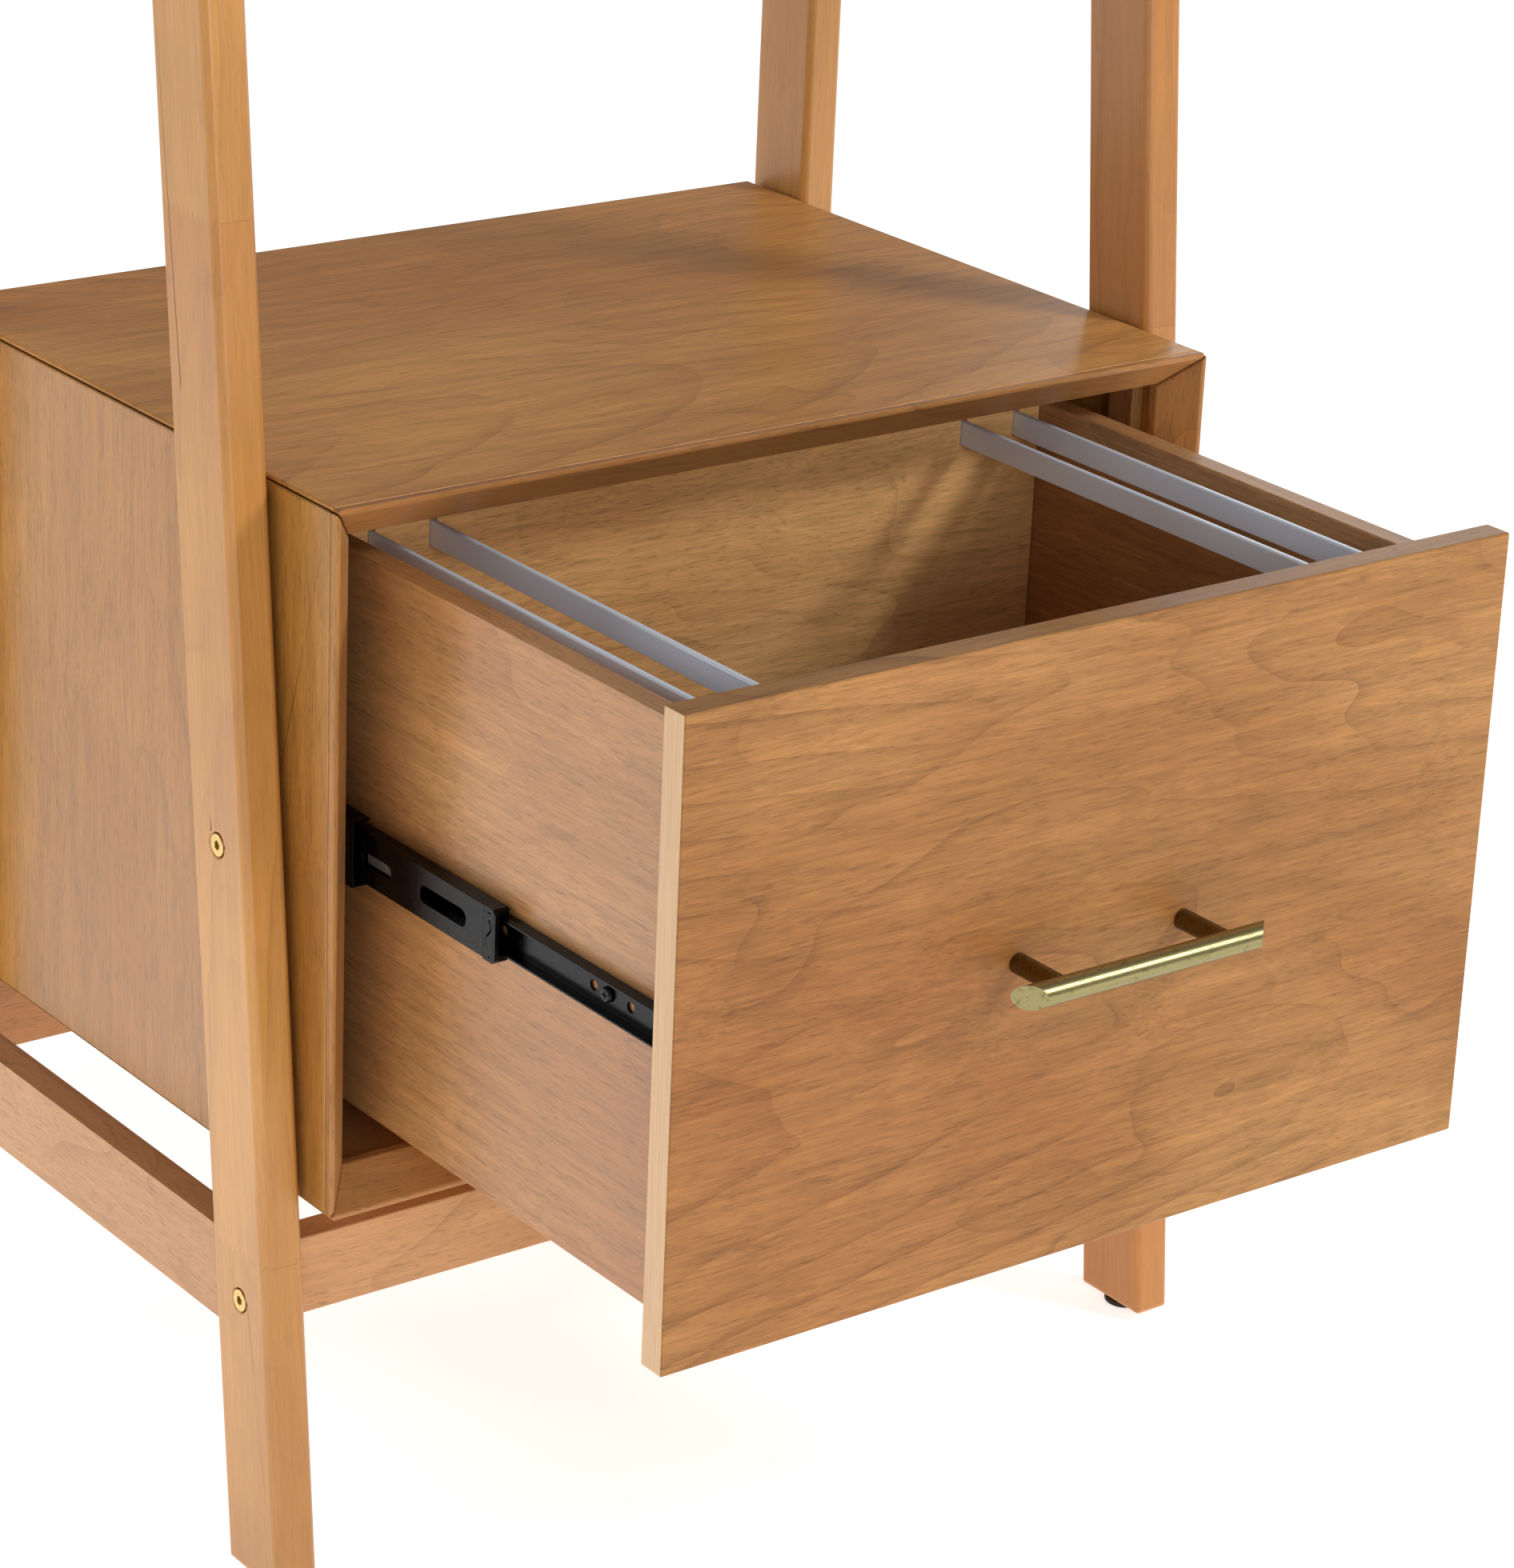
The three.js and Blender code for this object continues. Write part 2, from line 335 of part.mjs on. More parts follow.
for (const [end, lean, y0, yUp, yLow] of legs) {
  const tools = [];
  for (const [y, z] of [[yUp, BOLT_UP_Z], [yLow, BOLT_LOW_Z]]) {
    tools.push(rod('x', BOLT_R + GAP, LEG_X0 - 1, LEG_X1 + 1, y, z, 16));
    tools.push(rod('x', BOLT_HEAD_R + 0.5, LEG_X1 - BOLT_HEAD_T - GAP, LEG_X1 + 1, y, z, 28));
  }
  tools.push(rod('z', 2.8, LEG_Z0 - 1, LEG_Z0 + 10, LEG_XM, glideY[end], 16));
  const leg = cut(legSolid(lean, y0), ...tools);
  for (const [side, put] of sides) {
    add(frame, `leg_${end}_${side}`, put(leg), MAT.leg);
    // bolts: flat hex-socket heads let into the outer face
    [['upper', yUp, BOLT_UP_Z, HALF - 12], ['lower', yLow, BOLT_LOW_Z, 228]].forEach(([n, y, z, xEnd]) => {
      const head = rod('x', BOLT_HEAD_R, LEG_X1 - BOLT_HEAD_T, LEG_X1 + 0.2, y, z, 28);
      const bolt = cut(join(head, rod('x', BOLT_R, xEnd, LEG_X1 - 1, y, z, 16)),
        rod('x', 2.3, LEG_X1 - 1.8, LEG_X1 + 1, y, z, 6));
      add(frame, `bolt_${end}_${side}_${n}`, put(bolt), MAT.bolt);
    });
    // spacer between the leg and the cabinet side
    add(frame, `leg_spacer_${end}_${side}`, put(slab(ring(yUp, BOLT_UP_Z, 11, 28), 'x', HALF + GAP, LEG_X0 - GAP,
      [ring(yUp, BOLT_UP_Z, BOLT_R + GAP, 16)])), MAT.slide);
    // foot glide: a domed pad with a peg up into the leg
    const glide = new THREE.LatheGeometry([[0, 0], [9, 0], [10.6, 1.2], [10.6, LEG_Z0 - GAP], [2.5, LEG_Z0 - GAP], [2.5, LEG_Z0 + 8], [0, LEG_Z0 + 8]]
      .map(([r, h]) => new THREE.Vector2(r, h)), 28);
    glide.rotateX(Math.PI / 2);
    glide.translate(LEG_XM, glideY[end], 0);
    add(frame, `foot_glide_${end}_${side}`, put(glide), MAT.glide);
  }
}
// stretchers
{
  const rear = (z) => frontLegY(z) + LEG_D + GAP;
  const prof = [[rear(STR_SIDE_Z0), STR_SIDE_Z0], [BACK_LEG_Y - GAP, STR_SIDE_Z0], [BACK_LEG_Y - GAP, STR_TOP], [rear(STR_TOP), STR_TOP]];
  add(frame, 'stretcher_right', slab(prof, 'x', STR_SIDE_X0, STR_SIDE_X1), MAT.leg);
  add(frame, 'stretcher_left', slab(prof, 'x', -STR_SIDE_X1, -STR_SIDE_X0), MAT.leg);
  const bar = (y0, y1, yb) => {
    const x = LEG_X0 - GAP;
    return cut(block(-x, x, y0, y1, STR_CROSS_Z0, STR_TOP), rod('x', BOLT_R + GAP, x - 31, x + 1, yb, BOLT_LOW_Z, 16),
      rod('x', BOLT_R + GAP, -x - 1, -x + 31, yb, BOLT_LOW_Z, 16));
  };
  add(frame, 'stretcher_front', bar(266, 284, legBoltY.front_low), MAT.leg);
  add(frame, 'stretcher_back', bar(604.4, 622.4, legBoltY.back_low), MAT.leg);
}

export default part;
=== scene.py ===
"""Looks for the file-drawer cabinet in its leg frame: procedural wood, metal and
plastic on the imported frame, small added details, floor, soft light and camera."""
import math
import random

import bpy
import bmesh
from mathutils import Matrix, Vector


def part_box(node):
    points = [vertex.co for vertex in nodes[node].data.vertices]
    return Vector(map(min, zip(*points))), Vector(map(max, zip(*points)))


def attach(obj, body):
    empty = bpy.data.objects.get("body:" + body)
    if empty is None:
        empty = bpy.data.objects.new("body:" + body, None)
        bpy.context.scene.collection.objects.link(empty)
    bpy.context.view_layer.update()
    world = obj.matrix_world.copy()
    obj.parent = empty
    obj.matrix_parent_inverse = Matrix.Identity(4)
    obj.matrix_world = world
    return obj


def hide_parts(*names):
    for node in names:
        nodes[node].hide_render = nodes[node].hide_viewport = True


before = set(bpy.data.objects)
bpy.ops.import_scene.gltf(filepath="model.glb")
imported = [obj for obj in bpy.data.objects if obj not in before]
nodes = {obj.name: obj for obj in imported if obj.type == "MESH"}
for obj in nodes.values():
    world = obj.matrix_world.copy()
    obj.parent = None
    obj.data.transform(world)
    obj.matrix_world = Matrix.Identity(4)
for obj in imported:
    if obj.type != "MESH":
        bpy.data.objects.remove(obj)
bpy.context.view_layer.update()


# ------------------------------------------------------------------ helpers
def lin(rgb):
    """sRGB 0-255 triple to linear RGBA."""
    out = []
    for c in rgb:
        c = c / 255.0
        out.append(c / 12.92 if c <= 0.04045 else ((c + 0.055) / 1.055) ** 2.4)
    return (*out, 1.0)


class Graph:
    """Short names for building shader node trees."""

    def __init__(self, name):
        self.mat = bpy.data.materials.new(name)
        self.mat.use_nodes = True
        self.t = self.mat.node_tree
        self.t.nodes.clear()
        self.out = self.t.nodes.new("ShaderNodeOutputMaterial")
        self.bsdf = self.t.nodes.new("ShaderNodeBsdfPrincipled")
        self.t.links.new(self.bsdf.outputs[0], self.out.inputs[0])

    def put(self, socket, value):
        if isinstance(value, bpy.types.NodeSocket):
            self.t.links.new(value, socket)
        else:
            socket.default_value = value

    def coords(self):
        return self.t.nodes.new("ShaderNodeTexCoord").outputs["Object"]

    def math(self, op, a, b=0.0, c=0.0, clamp=False):
        n = self.t.nodes.new("ShaderNodeMath")
        n.operation = op
        n.use_clamp = clamp
        self.put(n.inputs[0], a)
        self.put(n.inputs[1], b)
        self.put(n.inputs[2], c)
        return n.outputs[0]

    def split(self, v):
        n = self.t.nodes.new("ShaderNodeSeparateXYZ")
        self.put(n.inputs[0], v)
        return n.outputs[0], n.outputs[1], n.outputs[2]

    def join(self, x, y, z):
        n = self.t.nodes.new("ShaderNodeCombineXYZ")
        self.put(n.inputs[0], x)
        self.put(n.inputs[1], y)
        self.put(n.inputs[2], z)
        return n.outputs[0]

    def noise(self, v, scale=1.0, detail=2.0, rough=0.5, distortion=0.0, colour=False):
        n = self.t.nodes.new("ShaderNodeTexNoise")
        self.put(n.inputs["Vector"], v)
        n.inputs["Scale"].default_value = scale
        n.inputs["Detail"].default_value = detail
        n.inputs["Roughness"].default_value = rough
        n.inputs["Distortion"].default_value = distortion
        return n.outputs["Color" if colour else "Fac"]

    def ramp(self, fac, stops, interpolation="LINEAR"):
        n = self.t.nodes.new("ShaderNodeValToRGB")
        n.color_ramp.interpolation = interpolation
        e = n.color_ramp.elements
        while len(e) < len(stops):
            e.new(0.5)
        for k, (p, c) in enumerate(stops):
            e[k].position = p
            e[k].color = c if len(c) == 4 else (*c, 1.0)
        self.put(n.inputs[0], fac)
        return n.outputs[0]

    def step(self, fac, lo, hi, a=0.0, b=1.0):
        n = self.t.nodes.new("ShaderNodeMapRange")
        n.interpolation_type = "SMOOTHSTEP"
        self.put(n.inputs[0], fac)
        n.inputs[1].default_value = lo
        n.inputs[2].default_value = hi
        n.inputs[3].default_value = a
        n.inputs[4].default_value = b
        return n.outputs[0]

    def mix(self, fac, a, b, blend="MIX"):
        n = self.t.nodes.new("ShaderNodeMix")
        n.data_type = "RGBA"
        n.blend_type = blend
        n.clamp_factor = True
        self.put(n.inputs[0], fac)
        self.put(n.inputs[6], a)
        self.put(n.inputs[7], b)
        return n.outputs[2]

    def bump(self, height, strength, distance, normal=None):
        n = self.t.nodes.new("ShaderNodeBump")
        n.inputs["Strength"].default_value = strength
        n.inputs["Distance"].default_value = distance
        self.put(n.inputs["Height"], height)
        if normal is not None:
            self.put(n.inputs["Normal"], normal)
        return n.outputs[0]


def wood(name, axis, light, dark, red, seed, centre=(0.0, 0.0), rings=55.0, slope=0.10,
         line=0.35, blotch=0.5, redness=0.4, lean=0.0, fingers=(), gloss=0.40, warp=1.0,
         pore=0.6, spread=0.05, texture=1.0, edge=None, contours=11.0, figure=1.0, spec=0.2):
    """Stained, lacquered wood with its grain along one axis of the row frame.

    light/dark/red are the stain's three tones. centre is the heart of the
    cathedral figure across the grain; fingers are heights of finger joints."""
    g = Graph(name)
    x, y, z = g.split(g.coords())
    if lean:
        y = g.math("SUBTRACT", y, g.math("MULTIPLY", z, lean))
    rnd = random.Random(seed)
    off = [rnd.uniform(-40, 40) for _ in range(3)]
    u, v, w = {"X": (x, y, z), "Y": (y, x, z), "Z": (z, x, y)}[axis]
    tint = None
    if fingers:
        # boards joined end to end: each takes its own tone and its own grain
        zig = g.math("MULTIPLY", g.math("PINGPONG", g.math("ADD", w, 2.0), 0.0021), 2.6)
        h = g.math("ADD", u, zig)
        boards = None
        seams = None
        for k, zf in enumerate(fingers):
            s = g.math("GREATER_THAN", h, zf)
            boards = s if boards is None else g.math("ADD", boards, s)
            d = g.math("ABSOLUTE", g.math("SUBTRACT", h, zf))
            m = g.step(d, 0.00018, 0.0006, 1.0, 0.0)
            seams = m if seams is None else g.math("MAXIMUM", seams, m)
        tint = (boards, seams)
        u_off = g.math("MULTIPLY_ADD", boards, 3.7, off[0])
        v_off = g.math("MULTIPLY_ADD", boards, 1.9, off[1])
    else:
        u_off, v_off = off[0], off[1]
    ug = g.math("ADD", u, u_off)
    vg = g.math("ADD", v, v_off)
    wg = g.math("ADD", w, off[2])
    # slow waviness of the grain
    slow = g.noise(g.join(g.math("MULTIPLY", ug, 2.2), g.math("MULTIPLY", vg, 5.0), g.math("MULTIPLY", wg, 5.0)),
                   1.0, 2.0, 0.5)
    slow = g.math("SUBTRACT", slow, 0.5)
    fast = g.noise(g.join(g.math("MULTIPLY", ug, 9.0), g.math("MULTIPLY", vg, 22.0), g.math("MULTIPLY", wg, 22.0)),
                   1.0, 2.0, 0.5)
    fast = g.math("SUBTRACT", fast, 0.5)
    shift = g.math("ADD", g.math("MULTIPLY", slow, 0.115 * warp), g.math("MULTIPLY", fast, 0.030 * warp))
    vw = g.math("ADD", g.math("SUBTRACT", v, centre[0]), shift)
    ww = g.math("ADD", g.math("SUBTRACT", w, centre[1]), g.math("MULTIPLY", slow, 0.05 * warp))
    # cathedral figure: rings round a heart that rises along the grain
    r = g.math("SQRT", g.math("ADD", g.math("ADD", g.math("MULTIPLY", vw, vw), g.math("MULTIPLY", ww, ww)), spread * spread))
    f = g.math("ADD", r, g.math("MULTIPLY", u, slope))
    phase = g.math("MULTIPLY", f, rings)
    saw = g.math("FRACT", phase)
    late = g.math("POWER", saw, 7.0)                       # dark late-wood line, sharp on one side
    early = g.step(saw, 0.0, 0.06, 0.0, 1.0)
    late = g.math("MULTIPLY", late, early)
    where = g.noise(g.join(g.math("MULTIPLY", ug, 3.0), g.math("MULTIPLY", vg, 9.0), g.math("MULTIPLY", wg, 9.0)), 1.0, 2.0, 0.6)
    late = g.math("MULTIPLY", late, g.step(where, 0.40, 0.68, 0.12, 1.0))
    # wavy contour figure: level lines of a slow field, long along the grain
    field = g.noise(g.join(g.math("MULTIPLY", g.math("ADD", ug, g.math("MULTIPLY", fast, 0.05)), 3.4), g.math("MULTIPLY", g.math("ADD", vg, g.math("MULTIPLY", fast, 0.012)), 10.5),
                           g.math("MULTIPLY", wg, 10.5)), 1.0, 1.5, 0.5)
    level = g.math("FRACT", g.math("MULTIPLY", field, contours))
    level = g.math("MULTIPLY", g.math("POWER", level, 8.0), g.step(level, 0.0, 1.0, 1.0, 1.0))
    soft = g.math("FRACT", g.math("MULTIPLY", field, contours))
    where2 = g.noise(g.join(g.math("MULTIPLY", ug, 6.0), g.math("MULTIPLY", vg, 12.0), g.math("MULTIPLY", wg, 12.0)), 1.0, 2.0, 0.6)
    where2 = g.step(where2, 0.38, 0.62, 0.10, 1.0)
    level = g.math("MULTIPLY", level, where2)
    # fine fibres and short pores
    fibre = g.noise(g.join(g.math("MULTIPLY", ug, 24.0), g.math("MULTIPLY", g.math("ADD", vg, g.math("MULTIPLY", shift, 0.6)), 760.0),
                           g.math("MULTIPLY", wg, 760.0)), 1.0, 3.0, 0.7)
    strand = g.noise(g.join(g.math("MULTIPLY", ug, 5.0), g.math("MULTIPLY", g.math("ADD", vg, g.math("MULTIPLY", shift, 0.6)), 170.0),
                            g.math("MULTIPLY", wg, 170.0)), 1.0, 3.0, 0.6)
    pores = g.noise(g.join(g.math("MULTIPLY", ug, 105.0), g.math("MULTIPLY", g.math("ADD", vg, g.math("MULTIPLY", shift, 0.6)), 950.0),
                           g.math("MULTIPLY", wg, 950.0)), 1.0, 1.0, 0.5)
    pores = g.step(pores, 0.56, 0.70, 0.0, 1.0)
    # stain takes unevenly
    cloud = g.noise(g.join(g.math("MULTIPLY", ug, 4.0), g.math("MULTIPLY", vg, 9.0), g.math("MULTIPLY", wg, 9.0)), 1.0, 3.0, 0.55, 0.3)
    cloud2 = g.noise(g.join(g.math("MULTIPLY", ug, 2.0), g.math("MULTIPLY", vg, 3.4), g.math("MULTIPLY", wg, 3.4)), 1.0, 1.0, 0.5)
    # cross figure: faint curl across the grain
    curl = g.noise(g.join(g.math("MULTIPLY", ug, 46.0), g.math("MULTIPLY", vg, 11.0), g.math("MULTIPLY", wg, 11.0)), 1.0, 2.0, 0.5)
    col = g.mix(g.math("MULTIPLY", g.step(cloud, 0.36, 0.66), blotch), lin(light), lin(dark))
    col = g.mix(g.math("MULTIPLY", g.step(cloud2, 0.44, 0.66), redness), col, lin(red))
    darker = g.mix(0.75, lin(dark), lin([c * 0.60 for c in red]))
    col = g.mix(g.math("MULTIPLY", late, line), col, darker)
    col = g.mix(g.math("MULTIPLY", g.math("MULTIPLY", soft, where2), 0.30 * line), col, lin(dark))
    col = g.mix(g.math("MULTIPLY", level, line * figure), col, darker)
    tone = g.math("ADD", g.math("MULTIPLY", g.math("SUBTRACT", fibre, 0.5), 0.80 * texture), 1.0 + 0.06 * pore)
    tone = g.math("ADD", tone, g.math("MULTIPLY", g.math("SUBTRACT", strand, 0.5), 0.55 * texture))
    tone = g.math("ADD", tone, g.math("MULTIPLY", g.math("SUBTRACT", curl, 0.5), 0.12 * texture))
    tone = g.math("SUBTRACT", tone, g.math("MULTIPLY", pores, 0.34 * pore))
    if tint:
        lot = g.noise(g.join(g.math("MULTIPLY", boards, 7.3), seed * 1.7, 0.5), 1.0, 0.0)
        tone = g.math("MULTIPLY", tone, g.math("MULTIPLY_ADD", g.math("SUBTRACT", lot, 0.5), 0.30, 1.0))
        tone = g.math("MULTIPLY", tone, g.math("MULTIPLY_ADD", seams, -0.16, 1.0))
    col = g.mix(1.0, col, g.join(tone, tone, tone), "MULTIPLY")
    if edge:
        # veneered edge band: paler, on the faces that look sideways
        nx, ny, nz = g.split(g.t.nodes.new("ShaderNodeNewGeometry").outputs["Normal"])
        side = g.step(g.math("ABSOLUTE", nx), 0.7, 0.9)
        band = g.noise(g.join(g.math("MULTIPLY", x, 600.0), g.math("MULTIPLY", y, 600.0), g.math("MULTIPLY", z, 22.0)), 1.0, 3.0, 0.6)
        bt = g.math("MULTIPLY_ADD", g.math("SUBTRACT", band, 0.5), 0.5, 1.0)
        col = g.mix(side, col, g.mix(1.0, lin(edge), g.join(bt, bt, bt), "MULTIPLY"))
    g.put(g.bsdf.inputs["Base Color"], col)
    rough = g.math("ADD", gloss, g.math("MULTIPLY", g.math("SUBTRACT", fibre, 0.5), 0.16))
    g.put(g.bsdf.inputs["Roughness"], rough)
    g.bsdf.inputs["Specular IOR Level"].default_value = spec
    g.bsdf.inputs["Coat Weight"].default_value = 0.03
    g.bsdf.inputs["Coat Roughness"].default_value = 0.25
    h = g.math("SUBTRACT", g.math("MULTIPLY", fibre, 0.5), g.math("MULTIPLY", pores, 0.6))
    g.put(g.bsdf.inputs["Normal"], g.bump(h, 0.35, 0.00012))
    return g.mat


def metal(name, base, rough, metallic=1.0, streak=None, streak_amount=0.0, speck=0.0, speck_colour=(20, 15, 8),
          bump_amount=0.0, coat=0.0):
    """Metal or plastic with brushed streaks along one axis and dark specks."""
    g = Graph(name)
    x, y, z = g.split(g.coords())
    if streak == "X":
        v = g.join(g.math("MULTIPLY", x, 60.0), g.math("MULTIPLY", y, 1900.0), g.math("MULTIPLY", z, 1900.0))
    elif streak == "Y":
        v = g.join(g.math("MULTIPLY", x, 1900.0), g.math("MULTIPLY", y, 60.0), g.math("MULTIPLY", z, 1900.0))
    else:
        v = g.join(g.math("MULTIPLY", x, 420.0), g.math("MULTIPLY", y, 420.0), g.math("MULTIPLY", z, 420.0))
    n = g.noise(v, 1.0, 3.0, 0.6)
    mott = g.noise(g.join(g.math("MULTIPLY", x, 260.0), g.math("MULTIPLY", y, 500.0), g.math("MULTIPLY", z, 500.0)), 1.0, 3.0, 0.6)
    tone = g.math("MULTIPLY_ADD", g.math("SUBTRACT", n, 0.5), streak_amount, 1.0)
    col = g.mix(1.0, lin(base), g.join(tone, tone, tone), "MULTIPLY")
    if speck:
        col = g.mix(g.math("MULTIPLY", g.step(mott, 0.54, 0.70), speck), col, lin(speck_colour))
    g.put(g.bsdf.inputs["Base Color"], col)
    g.put(g.bsdf.inputs["Roughness"], g.math("MULTIPLY_ADD", g.math("SUBTRACT", mott, 0.5), 0.22, rough, clamp=True))
    g.bsdf.inputs["Metallic"].default_value = metallic
    g.bsdf.inputs["Specular IOR Level"].default_value = 0.5 if metallic > 0.3 else (0.35 if metallic else 0.14)
    g.bsdf.inputs["Coat Weight"].default_value = coat
    if bump_amount:
        g.put(g.bsdf.inputs["Normal"], g.bump(n, bump_amount, 0.00008))
    return g.mat


# ------------------------------------------------------------------ finishes
FINGERS = {"front_left": (0.1740, 0.6666), "front_right": (0.090, 0.5470), "back_left": (0.245, 0.612), "back_right": (0.118, 0.470)}
M = {
    "top": wood("wood_top", "X", (212, 150, 80), (188, 126, 62), (176, 108, 50), 3, centre=(0.02, 0.50), rings=60, slope=0.16, line=0.45, blotch=0.75, redness=0.4, gloss=0.36, spec=0.25, figure=0.6, pore=0.5),
    "bottom": wood("wood_bottom", "X", (172, 124, 76), (144, 98, 56), (150, 96, 56), 4, centre=(0.0, 0.2)),
    "side_left": wood("wood_side_left", "Z", (182, 130, 60), (158, 106, 44), (158, 96, 40), 5, centre=(-0.30, 0.12), rings=50, slope=0.14, line=0.3, blotch=0.8, redness=0.4, spec=0.5, figure=0.5, gloss=0.3),
    "side_right": wood("wood_side_right", "Z", (182, 130, 60), (158, 106, 44), (158, 96, 40), 6, centre=(0.30, 0.12), rings=50, slope=0.14, line=0.3, blotch=0.8, redness=0.4, spec=0.5, figure=0.5, gloss=0.3),
    "back": wood("wood_back", "X", (160, 114, 68), (132, 90, 50), (142, 92, 54), 7, centre=(0.33, 0.35)),
    "lip_top": wood("wood_lip_top", "X", (178, 124, 72), (148, 98, 54), (156, 100, 56), 8, centre=(0.0, 0.4), gloss=0.36, texture=0.6),
    "lip_bottom": wood("wood_lip_bottom", "X", (184, 132, 80), (154, 106, 60), (162, 106, 62), 9, centre=(0.0, 0.1), gloss=0.36, texture=0.6),
    "lip_left": wood("wood_lip_left", "Z", (184, 132, 78), (152, 104, 56), (160, 104, 58), 10, centre=(-0.2, 0.0), gloss=0.36, texture=0.6),
    "lip_right": wood("wood_lip_right", "Z", (184, 132, 78), (152, 104, 56), (160, 104, 58), 11, centre=(0.3, 0.0), gloss=0.36, texture=0.6),
    "packer": wood("wood_packer", "Z", (150, 108, 66), (126, 88, 50), (134, 88, 52), 12),
    "front": wood("wood_front", "X", (170, 122, 70), (148, 98, 50), (144, 84, 42), 14, centre=(-0.30, 0.33), rings=58, slope=0.13, line=0.55, blotch=0.85, redness=0.5, edge=(214, 176, 136), texture=1.25, spec=0.2, figure=0.8, pore=0.5),
    "drawer_left": wood("wood_drawer_left", "Y", (190, 140, 88), (164, 112, 64), (162, 98, 52), 15, centre=(-0.24, 0.50), rings=70, slope=0.05, line=0.34, blotch=0.7, redness=0.6, contours=7.0, spec=0.5, texture=1.1, figure=0.6, gloss=0.32, pore=0.6),
    "drawer_right": wood("wood_drawer_right", "Y", (190, 142, 92), (162, 110, 66), (164, 98, 56), 16, centre=(0.24, 0.50), rings=70, slope=0.05, line=0.42, blotch=0.7, redness=0.6, contours=7.0, spec=0.3, texture=1.2),
    # drawer back: its wood is painted much paler than the drawer sides and bottom, painted light standing in for the
    # light that falls inside the drawer
    "drawer_back": wood("wood_drawer_back_painted_lit", "X", (240, 192, 128), (218, 164, 104), (214, 150, 92), 17, centre=(0.01, 0.36), rings=60, slope=0.10, line=0.32, blotch=0.7),
    "drawer_bottom": wood("wood_drawer_bottom", "X", (184, 136, 88), (160, 112, 68), (164, 108, 66), 18, centre=(-0.1, 0.2)),
    "stretch_x": wood("wood_stretch_x", "X", (198, 150, 104), (178, 130, 84), (184, 126, 84), 19, centre=(0.0, 0.3), rings=45, texture=0.55),
    "stretch_y": wood("wood_stretch_y", "Y", (200, 152, 110), (178, 130, 88), (184, 128, 90), 20, centre=(0.3, 0.3), rings=45, texture=0.55),
}
LEG = dict(rings=60, slope=0.04, line=0.30, blotch=0.6, redness=0.5, warp=0.5, spread=0.02, texture=0.5, pore=0.2, spec=0.5, gloss=0.32, figure=0.5)
for i, (e, s) in enumerate([("front", "left"), ("front", "right"), ("back", "left"), ("back", "right")]):
    M[f"leg_{e}_{s}"] = wood(f"wood_leg_{e}_{s}", "Z", (200, 142, 74), (178, 120, 58), (178, 110, 54), 30 + i,
                             centre=(-0.24 if s == "left" else 0.24, -0.05), lean=0.092 if e == "front" else 0.0, fingers=FINGERS[f"{e}_{s}"], **LEG)
M["rail"] = metal("rail_satin_grey", (226, 234, 246), 0.34, 0.05, "Y", 0.08, 0.0, bump_amount=0.03)
M["slide"] = metal("slide_black", (3, 3, 4), 0.24, 0.0, "Y", 0.2, 0.0, bump_amount=0.02)
M["stop"] = metal("stop_black_plastic", (7, 7, 8), 0.28, 0.0, None, 0.2, 0.0, bump_amount=0.03)
M["spacer"] = metal("spacer_black", (22, 20, 18), 0.5, 0.0, None, 0.2, 0.0)
M["glide"] = metal("glide_dark", (52, 44, 36), 0.55, 0.0, None, 0.3, 0.0, bump_amount=0.1)
M["brass"] = metal("handle_brass", (152, 142, 98), 0.32, 1.0, "X", 0.4, 0.45, (84, 74, 36), bump_amount=0.05)
M["bronze"] = metal("post_bronze", (112, 94, 54), 0.34, 1.0, "Y", 0.4, 0.6, (48, 38, 18), bump_amount=0.04)
M["bolt"] = metal("bolt_brass", (200, 170, 108), 0.30, 1.0, None, 0.25, 0.25, (90, 70, 30), bump_amount=0.04)
M["screw"] = metal("screw_dark", (40, 41, 46), 0.30, 0.9, None, 0.3, 0.2, (20, 20, 22))

PICK = {
    "cabinet_top": "top", "cabinet_bottom": "bottom", "cabinet_side_left": "side_left", "cabinet_side_right": "side_right",
    "cabinet_back": "back", "frame_lipping_top": "lip_top", "frame_lipping_bottom": "lip_bottom",
    "frame_lipping_left": "lip_left", "frame_lipping_right": "lip_right", "drawer_front": "front",
    "drawer_side_left": "drawer_left", "drawer_side_right": "drawer_right", "drawer_back": "drawer_back",
    "drawer_bottom": "drawer_bottom", "stretcher_front": "stretch_x", "stretcher_back": "stretch_x",
    "stretcher_left": "stretch_y", "stretcher_right": "stretch_y", "handle_bar": "brass",
}


def choice(n):
    if n in PICK:
        return PICK[n]
    if n.startswith("leg_spacer"):
        return "spacer"
    if n.startswith("leg_"):
        return n
    for head, key in (("slide_packer", "packer"), ("slide_end_stop", "stop"), ("slide_screw", "screw"), ("slide_", "slide"),
                      ("file_rail", "rail"), ("handle_post", "bronze"), ("handle_screw", "bolt"), ("bolt_", "bolt"), ("foot_", "glide")):
        if n.startswith(head):
            return key
    raise KeyError(n)


